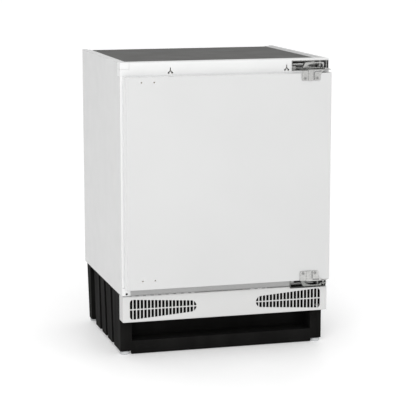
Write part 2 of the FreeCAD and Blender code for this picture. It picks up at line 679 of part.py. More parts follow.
def grille_slots():
    """All the slots of the right-hand group, cut out of one tapering outline."""
    y0, y1 = GRILLE_FRONT - 1, GRILLE_FRONT + GRILLE_SKIN + 1
    corner = GRILLE_CORNER
    x = GRILLE_OUTER - corner
    z = GRILLE_MIDDLE
    dz = GRILLE_OUTER_HALF - corner
    tip_x = GRILLE_INNER + GRILLE_INNER_HALF
    field = circle_hull([(x, z + dz, corner), (x, z - dz, corner), (tip_x, z, GRILLE_INNER_HALF)], y0, y1)
    pitch = (GRILLE_OUTER - GRILLE_INNER + GRILLE_BAR) / GRILLE_COLUMNS
    bars = [block(GRILLE_INNER - GRILLE_BAR + i * pitch, GRILLE_INNER + i * pitch, y0, y1, z - 40, z + 40)
            for i in range(GRILLE_COLUMNS + 1)]
    bars.append(block(GRILLE_INNER - 5, GRILLE_OUTER + 5, y0, y1,
                      z - GRILLE_MIDDLE_BAR / 2, z + GRILLE_MIDDLE_BAR / 2))
    return without(field, *bars)


def plinth_grille():
    """White moulding in front of the base, with side returns and four clips."""
    high = CABINET_FLOOR
    back = BASE_FRONT - 2.0
    shape = block(-SIDE, SIDE, GRILLE_FRONT, back, GRILLE_LOW, high)
    shape = softened(shape, RIGHT, 3.0, lambda c: c.y < GRILLE_FRONT + 1)
    shape = softened(shape, UP, 3.0, lambda c: c.y < GRILLE_FRONT + 1)
    edge = SIDE - GRILLE_SKIN
    shape = without(shape, block(-edge, edge, GRILLE_FRONT + GRILLE_SKIN, back + 1,
                                 GRILLE_LOW + GRILLE_SKIN, high - GRILLE_SKIN))
    under = block(-edge, edge, GRILLE_FRONT + 14, back + 1, GRILLE_LOW - 1, GRILLE_LOW + 4)
    top = block(-edge, edge, CABINET_FRONT - 1.5, back + 1, high - 4, high + 1)
    notch = block(CUP_LEFT - 2, SIDE + 1, GRILLE_FRONT - 1, back + 1,
                  DOOR_LOW - CUP_FAR_LOWER - 0.5, high + 1)
    slots = grille_slots()
    shape = without(shape, under, top, notch, slots, mirrored(slots))
    clips = [block(274, 286, GRILLE_FRONT + GRILLE_SKIN, BASE_FRONT, z, z + 3) for z in (GRILLE_LOW + 6, 164)]
    return joined(shape, *clips, *[mirrored(c) for c in clips])


# Base and machine compartment

def base_side():
    """Right-hand side wall with upright grooves, leaning at the rear."""
    wall = plate_x([(BASE_FRONT, BASE_LOW), (BASE_REAR_LOW, BASE_LOW), (BASE_REAR, CABINET_FLOOR),
                    (BASE_FRONT, CABINET_FLOOR)], BASE_HALF - BASE_WALL, BASE_HALF)
    grooves = []
    for top, bottom, width in GROOVES:
        half = width / 2.0
        grooves.append(plate_x([(bottom - half, BASE_LOW - 1), (bottom + half, BASE_LOW - 1),
                                (top + half, CABINET_FLOOR - 5), (top - half, CABINET_FLOOR - 5)],
                               BASE_HALF - GROOVE_DEPTH, BASE_HALF + 1))
    pocket_low = BASE_LOW + 6
    edges = [BASE_FRONT + RECESS_DEPTH + 6] + [g[1] for g in GROOVES] + [BASE_REAR_LOW - 4]
    pockets = []
    for i in range(len(edges) - 1):
        lean_a = GROOVES[i - 1][0] - GROOVES[i - 1][1] if i else 0
        lean_b = GROOVES[i][0] - GROOVES[i][1] if i < len(GROOVES) else 20.0
        gap_a = GROOVES[i - 1][2] / 2.0 + 3.5 if i else 0
        gap_b = GROOVES[i][2] / 2.0 + 3.5 if i < len(GROOVES) else 6.0
        a, b = edges[i] + gap_a, edges[i + 1] - gap_b
        if b - a > 8:
            pockets.append(plate_x([(a, pocket_low), (b, pocket_low), (b + lean_b, CABINET_FLOOR - 6),
                                    (a + lean_a, CABINET_FLOOR - 6)],
                                   BASE_HALF - BASE_WALL - 1, BASE_HALF - 3.5))
    return without(wall, *grooves, *pockets)


def foot_boss(x, y, width):
    return block(x - width, x + width, y - 14, BASE_REAR_LOW, BASE_LOW, 48)


def base_frame():
    """Black tray: grooved sides, front posts, toe recess, floor and rear beam."""
    inner = BASE_HALF - BASE_WALL
    back = BASE_FRONT + RECESS_DEPTH
    side = base_side()
    post = block(RECESS_HALF, inner + 1, BASE_FRONT, back, BASE_LOW, CABINET_FLOOR)
    pocket = block(RECESS_HALF + 3, inner + 2, BASE_FRONT + 3, back + 1, 52, CABINET_FLOOR - 4)
    post = without(post, pocket)
    rear_boss = foot_boss(FEET["rear_right"][0] - 1, FEET["rear_right"][1], 13.5)
    half = [side, post, rear_boss]
    rail = block(-RECESS_HALF - 1, RECESS_HALF + 1, BASE_FRONT, BASE_FRONT + 12, RAIL_LOW, RECESS_LOW)
    sill = block(-RECESS_HALF - 1, RECESS_HALF + 1, BASE_FRONT + 11, back, RECESS_LOW - 3, RECESS_LOW)
    wall = block(-inner - 1, inner + 1, back, back + 3, BASE_LOW, CABINET_FLOOR)
    vents = [block(x, x + 14, back - 1, back + 4, *VENTS) for x in range(-250, 240, 22)]
    floor = block(-inner - 1, inner + 1, back, BASE_REAR_LOW, BASE_LOW, BASE_LOW + 3)
    beam = block(-inner - 1, inner + 1, BASE_REAR_LOW - 6, BASE_REAR_LOW, BASE_LOW, 44)
    ribs = [block(-240, -70, y, y + 4, BASE_LOW + 2, CONDENSER_Z - 2.5) for y in (-66, 9)]
    shape = joined(*half, *[mirrored(s) for s in half], rail, sill, without(wall, *vents), floor, beam, *ribs)
    bores = [rod(STEM_R + STEM_FIT, (x, y, 0), 46) for x, y in FEET.values()]
    return without(shape, *bores)


def levelling_foot(x, y):
    """Round pad on a threaded stem."""
    pad = rod(FOOT_R, (x, y, 0), FOOT_THICK)
    pad = pad.makeFillet(1.2, [e for e in pad.Edges if e.Curve.TypeId == "Part::GeomCircle"])
    return joined(pad, rod(STEM_R, (x, y, FOOT_THICK - 1), STEM_LENGTH + 1))


def compressor_shell():
    """Domed steel pot on two feet."""
    x, y = PUMP
    pot = rod(PUMP_R, (x, y, PUMP_LOW), PUMP_HIGH - PUMP_LOW)
    ends = [e for e in pot.Edges if e.Curve.TypeId == "Part::GeomCircle"]
    pot = pot.makeFillet(26.0, ends)
    core = rod(PUMP_R - 4, (x, y, PUMP_LOW + 4), PUMP_HIGH - PUMP_LOW - 8)
    core = core.makeFillet(22.0, [e for e in core.Edges if e.Curve.TypeId == "Part::GeomCircle"])
    seam = without(rod(PUMP_R + 3, (x, y, 84), 4), rod(PUMP_R - 1, (x, y, 83), 6))
    dx, dy = PUMP_FOOT
    feet = block(x - dx - 10, x + dx + 10, y - dy - 12, y + dy + 12, 29, 31.5)
    holes = [rod(6.0, (x + sx * dx, y + sy * dy, 28), 5) for sx in (-1, 1) for sy in (-1, 1)]
    return without(joined(pot, seam, without(feet, *holes)), core)


def compressor_pump():
    """Motor and pump block inside the pot."""
    x, y = PUMP
    motor = rod(38, (x, y, PUMP_LOW + 14), 40)
    return joined(motor, block(x - 30, x + 30, y - 22, y + 22, PUMP_LOW + 50, 118))


def compressor_grommets():
    x, y = PUMP
    grommets = []
    for sx in (-1, 1):
        for sy in (-1, 1):
            centre = (x + sx * PUMP_FOOT[0], y + sy * PUMP_FOOT[1])
            grommets.append(joined(rod(9.0, (*centre, CARRIER_Z[1]), 10), rod(6.0, (*centre, 29), 6),
                                   rod(9.0, (*centre, 31.5), 4)))
    return group(grommets)


def compressor_plate():
    """Folded steel carrier that spans the base's floor."""
    inner = BASE_HALF - BASE_WALL
    low, high = CARRIER_Z
    plate = block(-inner + 1, inner - 1, 82, 199, low, high)
    legs = [block(-inner + 1, inner - 1, y, y + 2, BASE_LOW + 3, low) for y in (82, 197)]
    return joined(plate, *legs)


def relay_box():
    x, y = PUMP
    body = softened(block(x - 100, x - PUMP_R - 4, y - 26, y + 26, 50, 116), RIGHT, 5.0)
    neck = block(x - PUMP_R - 5, x - PUMP_R + 2.5, y - 12, y + 12, 70, 82)
    return without(joined(body, neck), compressor_shell())


def pipe(points, radius, bend):
    """A round tube along straight runs joined by arcs."""
    corners = [Vector(*p) for p in points]
    edges = []
    start = corners[0]
    for i in range(1, len(corners) - 1):
        into = corners[i].sub(corners[i - 1]).normalize()
        out = corners[i + 1].sub(corners[i]).normalize()
        half = into.getAngle(out) / 2.0
        cut = bend * math.tan(half)
        a = corners[i].sub(into * cut)
        b = corners[i].add(out * cut)
        inward = out.sub(into).normalize()
        middle = corners[i].add(inward * (bend / math.cos(half) - bend))
        edges.append(Part.LineSegment(start, a).toShape())
        edges.append(Part.Arc(a, middle, b).toShape())
        start = b
    edges.append(Part.LineSegment(start, corners[-1]).toShape())
    spine = Part.Wire(edges)
    first = corners[1].sub(corners[0]).normalize()
    ring = Part.Wire([Part.makeCircle(radius, corners[0], first)])
    return spine.makePipeShell([ring], True, True)


def condenser():
    """Flat serpentine tube with cross wires, lying in the left of the base."""
    points = [(-30, -110, CONDENSER_Z)]
    for i in range(6):
        y = -110 + i * 30
        end = -255 if i % 2 == 0 else -55
        points.append((end, y, CONDENSER_Z))
        if i < 5:
            points.append((end, y + 30, CONDENSER_Z))
    tube = pipe(points, 2.5, 12.0)
    wires = [rod(1.0, (x, -112, CONDENSER_Z + 3.5), 156, BACKWARD) for x in range(-235, -70, 15)]
    return group([tube] + wires)


def drain_tube():
    low = CABINET_FLOOR - 17
    tube = rod(DRAIN_R + DRAIN_WALL, (*DRAIN, low), CAVITY_LOW - LINER - low)
    return without(tube, rod(DRAIN_R, (*DRAIN, low - 1), 80))


def evaporation_pan():
    x, y = PUMP
    limits = (x - 62, x + 62, y - 62, y + 70, PUMP_HIGH, PUMP_HIGH + 20)
    return tub(limits, 2.0, 10.0)


def filter_drier():
    body = rod(9.0, DRIER, DRIER_LENGTH, RIGHT)
    return body.makeFillet(4.0, [e for e in body.Edges if e.Curve.TypeId == "Part::GeomCircle"])


def refrigerant_tubes():
    """Discharge, suction and return lines between compressor, condenser and cabinet."""
    discharge = pipe([(-30, -110, CONDENSER_Z), (58, -110, CONDENSER_Z), (58, -110, 100), (58, 60, 100),
                      (100, 60, 100), (100, 91.4, 100)], 2.5, 10.0)
    suction = pipe([(150, 95.7, 100), (150, 40, 100), (150, 40, CABINET_FLOOR)], 3.0, 12.0)
    x, y, z = DRIER
    liquid = pipe([(-55, 40, CONDENSER_Z), (-38, 40, CONDENSER_Z), (-38, y, z), (x, y, z)], 2.5, 7.0)
    end = x + DRIER_LENGTH + 20
    capillary = pipe([(x + DRIER_LENGTH, y, z), (end, y, z), (end, y, CABINET_FLOOR)], 1.5, 8.0)
    shell = compressor_shell()
    return group([without(discharge, shell), without(suction, shell), liquid, capillary])


def mains_inlet():
    """Three-pin appliance inlet on the base's left wall, facing the rear."""
    inner = BASE_HALF - BASE_WALL
    y0, y1 = INLET_Y
    z0, z1 = INLET_Z
    body = softened(block(-inner, -inner + 34, y0, y1, z0, z1), BACKWARD, 3.0)
    socket = softened(block(-inner + 5, -inner + 29, y0 + 14, y1 + 1, z0 + 5, z1 - 5), BACKWARD, 2.5)
    pins = [block(x - 1, x + 1, y0 + 13, y1 - 9, z - 2.5, z + 2.5) for x, z in
            ((-inner + 11, z0 + 11), (-inner + 23, z0 + 11), (-inner + 17, z0 + 17))]
    return joined(without(body, socket), *pins)


# Every node

def write_cabinet():
    save("right_side_panel", side_panel())
    save("left_side_panel", mirrored(side_panel()))
    inner = SIDE - RIM - 0.2
    save("top_panel", block(-inner, inner, STRIP_BACK + 0.2, REAR - 1.2, TOP_LEVEL - 1.0, TOP_LEVEL))
    save("back_panel", back_panel())
    save("bottom_sheet", without(block(-SIDE + SHEET, SIDE - SHEET, STRIP_BACK + 0.2, BACK_FACE - 1,
                                       CABINET_FLOOR, CABINET_FLOOR + SHEET),
                                 rod(DRAIN_R + DRAIN_WALL, (*DRAIN, CABINET_FLOOR - 1), 4)))
    save("insulation_foam", insulation_foam())
    save("inner_liner", inner_liner())
    save("top_front_strip", top_front_strip())
    save("strip_corner_cap", strip_corner_cap())
    save("lower_crossrail", lower_crossrail())
    save("rail_corner_cover", rail_corner_cover())
    save("plinth_grille", plinth_grille())
    save("base_frame", base_frame())
    screws = [joined(rod(4.0, (x, BACK_FACE, z), SCREW_HEAD, BACKWARD),
                     rod(SCREW_R, (x, REAR - 16, z), 15, BACKWARD)) for x, z in BACK_SCREWS]
    screws += [on_door(cup_screw(), upper) for upper in (True, False)]
    save("cabinet_screws", group(screws))


def write_interior():
    for name, level in (("lower_shelf_glass", SHELVES[0]), ("upper_shelf_glass", SHELVES[1]),
                        ("crisper_cover_glass", CRISPER_COVER)):
        save(name, glass_plate(level))
    save("shelf_trims", shelf_trims())
    save("thermostat_housing", thermostat_housing())
    save("lamp_cover", lamp_cover())
    save("lamp_board", lamp_board())
    save("thermostat_dial", thermostat_dial())
    save("light_switch", light_switch())
    save("evaporator_plate", evaporator_plate())
    save("drain_tube", drain_tube())
    save("crisper_drawer", crisper_drawer())


def write_machine_parts():
    save("compressor_shell", compressor_shell())
    save("compressor_pump", compressor_pump())
    save("compressor_grommets", compressor_grommets())
    save("compressor_plate", compressor_plate())
    save("relay_box", relay_box())
    save("evaporation_pan", evaporation_pan())
    save("condenser", condenser())
    save("filter_drier", filter_drier())
    save("refrigerant_tubes", refrigerant_tubes())
    save("mains_inlet", mains_inlet())


def write_hinges():
    save("upper_hinge_cup", on_door(hinge_cup(CUP_FAR), True))
    save("lower_hinge_cup", on_door(hinge_cup(CUP_FAR_LOWER), False))
    posts = [on_door(s, True) for s in pivot_posts(CUP_FAR)]
    posts += [on_door(s, False) for s in pivot_posts(CUP_FAR_LOWER)]
    save("hinge_pivot_posts", group(posts))
    save("hinge_springs", group([on_door(hinge_spring(), upper) for upper in (True, False)]))
    pins = []
    for name, upper, plate, reach in (("upper", True, FLANGE_PLATE, FLANGE_REACH),
                                      ("lower", False, FLANGE_PLATE_LOWER, FLANGE_REACH_LOWER)):
        save(name + "_outer_link", on_door(outer_link(), upper))
        save(name + "_inner_link", on_door(inner_link(plate), upper))
        save(name + "_hinge_flange", on_door(hinge_flange(plate, reach), upper))
        pins.append(on_door(flange_pin(plate[0]), upper))
    save("flange_pins", group(pins))
    save("flange_screws", group([flange_screw(x, z) for x, z in FLANGE_SCREWS]))


def write_door():
    save("door_panel", door_panel())
    save("door_end_caps", door_end_caps())
    save("door_foam", door_foam())
    save("door_liner", door_liner())
    save("door_gasket", door_gasket())
    for name, (low, height, depth) in BINS.items():
        save(name, door_bin(low, height, depth))


def write_feet():
    for name, (x, y) in FEET.items():
        save("foot_" + name, levelling_foot(x, y))


os.makedirs("parts", exist_ok=True)
write_cabinet()
write_interior()
write_machine_parts()
write_hinges()
write_door()
write_feet()
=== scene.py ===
import json
import math

import bpy
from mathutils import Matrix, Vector


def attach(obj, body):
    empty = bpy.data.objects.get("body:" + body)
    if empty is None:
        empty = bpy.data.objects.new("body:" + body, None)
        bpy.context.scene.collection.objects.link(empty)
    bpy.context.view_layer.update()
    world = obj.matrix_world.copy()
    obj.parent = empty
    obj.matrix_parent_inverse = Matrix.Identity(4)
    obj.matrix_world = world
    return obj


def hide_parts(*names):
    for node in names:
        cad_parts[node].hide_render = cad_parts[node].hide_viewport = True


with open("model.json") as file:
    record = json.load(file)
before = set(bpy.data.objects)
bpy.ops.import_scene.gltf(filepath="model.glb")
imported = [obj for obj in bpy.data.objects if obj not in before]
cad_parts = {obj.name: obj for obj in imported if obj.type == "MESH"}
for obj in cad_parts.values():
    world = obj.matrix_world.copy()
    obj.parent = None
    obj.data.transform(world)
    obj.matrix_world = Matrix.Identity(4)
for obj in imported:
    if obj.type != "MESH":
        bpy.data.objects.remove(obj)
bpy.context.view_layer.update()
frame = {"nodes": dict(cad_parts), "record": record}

NODES = frame["nodes"]
SLOT_OF = {part["node"]: part["material_slot"] for part in frame["record"]["subparts"]}
BODY_OF = {node: body for body, nodes in frame["record"]["behaviour"]["bodies"].items() for node in nodes}
MM = 0.001

# Places in millimetres, in the frame of the CAD model
HINGE_LEVELS = (801.5, 180.0)
SPRING_Y = -218.0
FEET = {"foot_front_left": (-281.0, -184.0), "foot_front_right": (281.0, -184.0),
        "foot_rear_left": (-281.0, 221.0), "foot_rear_right": (281.0, 221.0)}
SEAL_HALF, SEAL_LOW, SEAL_HIGH = 277.5, 204.5, 777.5
DIAL_Y, DIAL_Z = -60.0, 728.0
BACK_HALF, BACK_LOW, BACK_HIGH, BACK_FACE = 285.2, 175.0, 811.8, 275.4
BEAD_HEIGHT = 1.2


# Camera, light and floor

def make_camera():
    """A long lens from the front left, a little above the appliance."""
    yaw = math.radians(15.745)
    pitch = math.radians(-9.903)
    data = bpy.data.cameras.new("camera")
    data.sensor_width = 36.0
    data.lens = 140.22
    data.clip_end = 60.0
    camera = bpy.data.objects.new("camera", data)
    camera.location = (-1.2494, -4.4784, 1.1820)
    look = Vector((math.sin(yaw) * math.cos(pitch), math.cos(yaw) * math.cos(pitch), math.sin(pitch)))
    camera.rotation_mode = "QUATERNION"
    camera.rotation_quaternion = look.to_track_quat("-Z", "Y")
    bpy.context.scene.collection.objects.link(camera)
    bpy.context.scene.camera = camera


def area_light(name, location, target, size, power):
    """A soft rectangular lamp aimed at a point."""
    data = bpy.data.lights.new(name, "AREA")
    data.shape = "RECTANGLE"
    data.size, data.size_y = size
    data.energy = power
    lamp = bpy.data.objects.new(name, data)
    lamp.location = location
    lamp.rotation_mode = "QUATERNION"
    lamp.rotation_quaternion = (Vector(target) - Vector(location)).to_track_quat("-Z", "Y")
    bpy.context.scene.collection.objects.link(lamp)


def make_world(bright, dim):
    """A white studio whose light is dimmer low down on the appliance's left, before a white backdrop."""
    world = bpy.data.worlds.new("studio")
    world.use_nodes = True
    tree = world.node_tree
    facing = tree.nodes.new("ShaderNodeVectorMath")
    facing.operation = "DOT_PRODUCT"
    facing.inputs[1].default_value = (-0.90, 0.15, -0.40)
    strength = tree.nodes.new("ShaderNodeMapRange")
    strength.interpolation_type = "SMOOTHSTEP"
    strength.inputs["From Min"].default_value = 0.05
    strength.inputs["From Max"].default_value = 0.85
    strength.inputs["To Min"].default_value = bright
    strength.inputs["To Max"].default_value = dim
    direction = tree.nodes.new("ShaderNodeTexCoord").outputs["Generated"]
    tree.links.new(direction, facing.inputs[0])
    tree.links.new(facing.outputs["Value"], strength.inputs["Value"])
    background = tree.nodes["Background"]
    background.inputs["Color"].default_value = (1.0, 1.0, 1.0, 1.0)
    seen = tree.nodes.new("ShaderNodeLightPath").outputs["Is Camera Ray"]
    backdrop = tree.nodes.new("ShaderNodeMath")
    backdrop.operation = "MAXIMUM"
    tree.links.new(strength.outputs["Result"], backdrop.inputs[0])
    tree.links.new(seen, backdrop.inputs[1])
    tree.links.new(backdrop.outputs["Value"], background.inputs["Strength"])
    bpy.context.scene.world = world


class Surface:
    """A Principled material with its patterns laid out in metres on the object."""

    def __init__(self, name, colour, metallic=0.0, roughness=0.5, edge=0.0007, **sockets):
        self.material = bpy.data.materials.new(name)
        self.material.use_nodes = True
        self.tree = self.material.node_tree
        self.shader = self.tree.nodes["Principled BSDF"]
        self.colour = colour
        self.roughness = roughness
        self.shader.inputs["Base Color"].default_value = (*colour, 1.0)
        self.shader.inputs["Metallic"].default_value = metallic
        self.shader.inputs["Roughness"].default_value = roughness
        for socket, value in sockets.items():
            self.shader.inputs[socket.replace("_", " ")].default_value = value
        self.place = self.node("ShaderNodeTexCoord").outputs["Object"]
        self.height = None
        if edge:
            rounding = self.node("ShaderNodeBevel", samples=4)
            rounding.inputs["Radius"].default_value = edge
            self.height = rounding.outputs["Normal"]
            self.link(self.height, self.shader.inputs["Normal"])

    def node(self, kind, **values):
        made = self.tree.nodes.new(kind)
        for key, value in values.items():
            setattr(made, key, value)
        return made

    def link(self, source, target):
        self.tree.links.new(source, target)

    def stretched(self, scale):
        """The place on the object, scaled by a different factor along each axis."""
        mapping = self.node("ShaderNodeMapping")
        mapping.inputs["Scale"].default_value = scale
        self.link(self.place, mapping.inputs["Vector"])
        return mapping.outputs["Vector"]

    def noise(self, size, detail=2.0, stretch=(1.0, 1.0, 1.0), rough=0.5):
        """Smooth noise whose features are about size metres across."""
        made = self.node("ShaderNodeTexNoise")
        made.inputs["Scale"].default_value = 1.0 / size
        made.inputs["Detail"].default_value = detail
        made.inputs["Roughness"].default_value = rough
        self.link(self.stretched(stretch), made.inputs["Vector"])
        return made.outputs["Fac"]

    def cells(self, size, stretch=(1.0, 1.0, 1.0), output="Color"):
        """Crystal-like cells about size metres across."""
        made = self.node("ShaderNodeTexVoronoi")
        made.inputs["Scale"].default_value = 1.0 / size
        self.link(self.stretched(stretch), made.inputs["Vector"])
        return made.outputs[output]

    def ramp(self, value, low, high, start=0.3, end=0.7):
        """A colour that runs from low to high as value rises from start to end."""
        made = self.node("ShaderNodeValToRGB")
        first, last = made.color_ramp.elements
        first.position, last.position = start, end
        first.color, last.color = (*low, 1.0), (*high, 1.0)
        self.link(value, made.inputs["Fac"])
        return made.outputs["Color"]

    def spread(self, value, low, high, start=0.0, end=1.0):
        """A number that runs from low to high as value rises from start to end."""
        made = self.node("ShaderNodeMapRange")
        made.inputs["From Min"].default_value = start
        made.inputs["From Max"].default_value = end
        made.inputs["To Min"].default_value = low
        made.inputs["To Max"].default_value = high
        self.link(value, made.inputs["Value"])
        return made.outputs["Result"]

    def tint(self, value, amount, start=0.3, end=0.7):
        """Lets the colour drift by a small amount with value."""
        low = tuple(c * (1.0 - amount) for c in self.colour)
        high = tuple(min(1.0, c * (1.0 + amount)) for c in self.colour)
        self.link(self.ramp(value, low, high, start, end), self.shader.inputs["Base Color"])
        return self

    def painted_crevice_shade(self, reach, shade, free=0.75):
        """Paints shade into the colour: darkens it down to shade where other faces stand within reach metres.

        Places that are open to at least the share free of their surroundings keep their colour.
        """
        closeness = self.node("ShaderNodeAmbientOcclusion", samples=4)
        closeness.inputs["Distance"].default_value = reach
        mix = self.node("ShaderNodeMix", data_type="RGBA", blend_type="MULTIPLY")
        mix.inputs["Factor"].default_value = 1.0
        target = self.shader.inputs["Base Color"]
        if target.links:
            self.link(target.links[0].from_socket, mix.inputs["A"])
        else:
            mix.inputs["A"].default_value = (*self.colour, 1.0)
        self.link(self.spread(closeness.outputs["AO"], shade, 1.0, 0.15, free), mix.inputs["B"])
        self.link(mix.outputs["Result"], target)
        return self

    def painted_light_beyond(self, y_from, y_to, amount):
        """Paints light into the colour: lifts it by a share that rises to amount from the one place along Y to the
        other.
        """
        axes = self.node("ShaderNodeSeparateXYZ")
        self.link(self.place, axes.inputs[0])
        step = self.spread(axes.outputs["Y"], 1.0, 1.0 + amount, y_from, y_to)
        mix = self.node("ShaderNodeMix", data_type="RGBA", blend_type="MULTIPLY", clamp_result=False)
        mix.inputs["Factor"].default_value = 1.0
        target = self.shader.inputs["Base Color"]
        self.link(target.links[0].from_socket, mix.inputs["A"])
        self.link(step, mix.inputs["B"])
        self.link(mix.outputs["Result"], target)
        return self

    def gloss(self, value, amount, start=0.3, end=0.7):
        """Lets the roughness drift by a small amount with value."""
        result = self.spread(value, self.roughness - amount, self.roughness + amount, start, end)
        self.link(result, self.shader.inputs["Roughness"])
        return self

    def bump(self, value, depth, strength=1.0):
        """Raises the surface by up to depth metres with value, on top of earlier bumps."""
        made = self.node("ShaderNodeBump")
        made.inputs["Distance"].default_value = depth
        made.inputs["Strength"].default_value = strength
        self.link(value, made.inputs["Height"])
        if self.height is not None:
            self.link(self.height, made.inputs["Normal"])
        self.height = made.outputs["Normal"]
        self.link(self.height, self.shader.inputs["Normal"])
        return self


def floor_surface():
    """White paper sweep with a painted shadow: a little darker where the appliance stands."""
    s = Surface("studio_floor", (0.89, 0.89, 0.89), roughness=0.55, edge=0.0, Emission_Strength=0.30)
    s.shader.inputs["Emission Color"].default_value = (1.0, 1.0, 1.0, 1.0)
    away = s.node("ShaderNodeVectorMath", operation="LENGTH")
    s.link(s.stretched((1.5, 0.75, 1.0)), away.inputs[0])
    # Painted shadow: the floor's colour darkens towards where the appliance stands.
    s.link(s.ramp(away.outputs["Value"], (0.74, 0.74, 0.74), (0.89, 0.89, 0.89), 0.40, 1.05),
           s.shader.inputs["Base Color"])
    return s.gloss(s.noise(0.2), 0.05).material


def make_floor():
    mesh = bpy.data.meshes.new("floor")
    half = 40.0
    mesh.from_pydata([(-half, -half, 0), (half, -half, 0), (half, half, 0), (-half, half, 0)], [], [(0, 1, 2, 3)])
    floor = bpy.data.objects.new("floor", mesh)
    mesh.materials.append(floor_surface())
    bpy.context.scene.collection.objects.link(floor)


# Materials, one for each slot of the record

def white_sheet():
    """Lacquered steel with a faint orange peel."""
    s = Surface("white_sheet", (0.70, 0.705, 0.70), roughness=0.34, Coat_Weight=0.25)
    s.tint(s.noise(0.25), 0.012).gloss(s.noise(0.05, 3.0), 0.04)
    return s.bump(s.noise(0.0022, 1.0), 0.00002, 0.5).bump(s.noise(0.12), 0.0002, 0.2).material


def dark_sheet():
    """Dark grey lacquered steel with a fine grain."""
    s = Surface("dark_sheet", (0.078, 0.078, 0.0745), roughness=0.6, Specular_IOR_Level=0.2)
    s.tint(s.noise(0.0012, 2.0), 0.06).gloss(s.noise(0.08, 3.0), 0.04)
    return s.bump(s.noise(0.0012, 2.0), 0.00003, 0.5).material


def galvanised():
    """Zinc-coated steel with a soft spangle and a rolling grain."""
    s = Surface("galvanised", (0.42, 0.42, 0.418), metallic=0.6, roughness=0.5)
    # Painted shade: the colour darkens where other faces stand within 4 mm.
    s.tint(s.cells(0.006, (1.0, 1.0, 1.6)), 0.03, 0.2, 0.8).painted_crevice_shade(0.004, 0.45)
    s.gloss(s.cells(0.006, (1.0, 1.0, 1.6)), 0.03, 0.2, 0.8)
    return s.bump(s.noise(0.002, 3.0, (0.06, 1.0, 1.0)), 0.00003, 0.6).material


def moulding(name, colour, roughness, painted_seam_shade):
    """Moulded plastic with a fine spark-eroded texture."""
    s = Surface(name, colour, roughness=roughness)
    # Painted shade: the colour darkens in seams and creases where other faces stand within 3 mm.
    s.tint(s.noise(0.08), 0.01).painted_crevice_shade(0.003, painted_seam_shade).gloss(s.noise(0.02, 3.0), 0.05)
    return s.bump(s.noise(0.0008, 1.0), 0.00003, 0.6).material


def white_plastic():
    return moulding("white_plastic", (0.735, 0.738, 0.735), 0.38, 0.5)


def liner_plastic():
    """Vacuum-formed sheet: glossy, with long gentle waves."""
    s = Surface("liner_plastic", (0.84, 0.85, 0.86), roughness=0.24)
    s.tint(s.noise(0.15), 0.008).gloss(s.noise(0.03), 0.04)
    return s.bump(s.noise(0.06), 0.0006, 0.15).bump(s.noise(0.0015, 1.0), 0.00002, 0.4).material


def black_plastic():
    """Recycled black polypropylene with a coarse grain and flow streaks."""
    s = Surface("black_plastic", (0.0062, 0.0060, 0.0056), roughness=0.86, Specular_IOR_Level=0.12)
    # Painted shade: grooves and hollows darken to black where other faces stand within 5 cm.
    s.tint(s.noise(0.06, 4.0, (1.0, 1.0, 0.25)), 0.35).painted_crevice_shade(0.05, 0.0, 0.96)
    s.gloss(s.noise(0.05, 4.0, (1.0, 1.0, 0.2)), 0.09)
    return s.bump(s.noise(0.0011, 2.0), 0.00006, 0.7).material


def foam():
    s = Surface("foam", (0.74, 0.69, 0.53), roughness=0.9)
    s.tint(s.noise(0.03, 4.0), 0.12)
    return s.bump(s.cells(0.0014, output="Distance"), 0.0005, 0.8).material


def clear_glass():
    """Toughened glass with a green body tint."""
    s = Surface("clear_glass", (0.86, 0.95, 0.91), roughness=0.03, edge=0.0, Transmission_Weight=1.0, IOR=1.5)
    return s.gloss(s.noise(0.05, 2.0), 0.015).bump(s.noise(0.15), 0.00005, 0.2).material


def trim_plastic():
    s = Surface("trim_plastic", (0.80, 0.82, 0.84), roughness=0.3)
    s.tint(s.noise(0.05), 0.015).gloss(s.noise(0.01, 2.0), 0.05)
    return s.bump(s.noise(0.001), 0.00002, 0.5).material


def clear_plastic():
    """Injection-moulded clear polystyrene with flow marks."""
    s = Surface("clear_plastic", (0.90, 0.945, 0.97), roughness=0.09, edge=0.0, Transmission_Weight=0.92, IOR=1.2)
    s.gloss(s.noise(0.03, 3.0, (0.3, 1.0, 1.0)), 0.04)
    return s.bump(s.noise(0.04, 2.0, (0.3, 1.0, 1.0)), 0.0004, 0.2).material


def gasket():
    s = Surface("gasket", (0.70, 0.71, 0.715), roughness=0.62, Subsurface_Weight=0.05)
    s.tint(s.noise(0.03, 3.0), 0.03).gloss(s.noise(0.01), 0.06)
    return s.bump(s.noise(0.0012), 0.00006, 0.6).material


def pressed_steel(name, colour, roughness, patchiness):
    """Plated pressed steel with a drawn grain."""
    s = Surface(name, colour, metallic=1.0, roughness=roughness, edge=0.0006)
    # Painted shade: the colour darkens strongly where other faces stand within 12 mm.
    s.tint(s.noise(0.006, 3.0), patchiness).painted_crevice_shade(0.012, 0.12)
    s.gloss(s.noise(0.002, 4.0, (0.15, 1.0, 1.0)), 0.08)
    return s.bump(s.noise(0.0008, 2.0, (0.1, 1.0, 1.0)), 0.00002, 0.5).material


def hinge_chrome():
    return pressed_steel("hinge_chrome", (0.50, 0.50, 0.49), 0.26, 0.08)


def pin_steel():
    s = Surface("pin_steel", (0.36, 0.36, 0.355), metallic=1.0, roughness=0.34, edge=0.0003)
    # Painted shade: the colour darkens where other faces stand within 3 mm.
    s.tint(s.noise(0.002, 3.0), 0.10).painted_crevice_shade(0.003, 0.1).gloss(s.noise(0.001, 3.0, (1.0, 1.0, 0.1)), 0.09)
    return s.bump(s.noise(0.0005, 2.0, (1.0, 1.0, 0.1)), 0.00002, 0.5).material


def aluminium_plate():
    """Roll-bonded evaporator sheet with a dull oxide skin."""
    s = Surface("aluminium_plate", (0.70, 0.72, 0.74), metallic=0.9, roughness=0.42)
    s.tint(s.noise(0.02, 4.0), 0.06).gloss(s.noise(0.01, 3.0), 0.08)
    return s.bump(s.noise(0.001, 2.0, (1.0, 1.0, 0.08)), 0.00003, 0.6).material


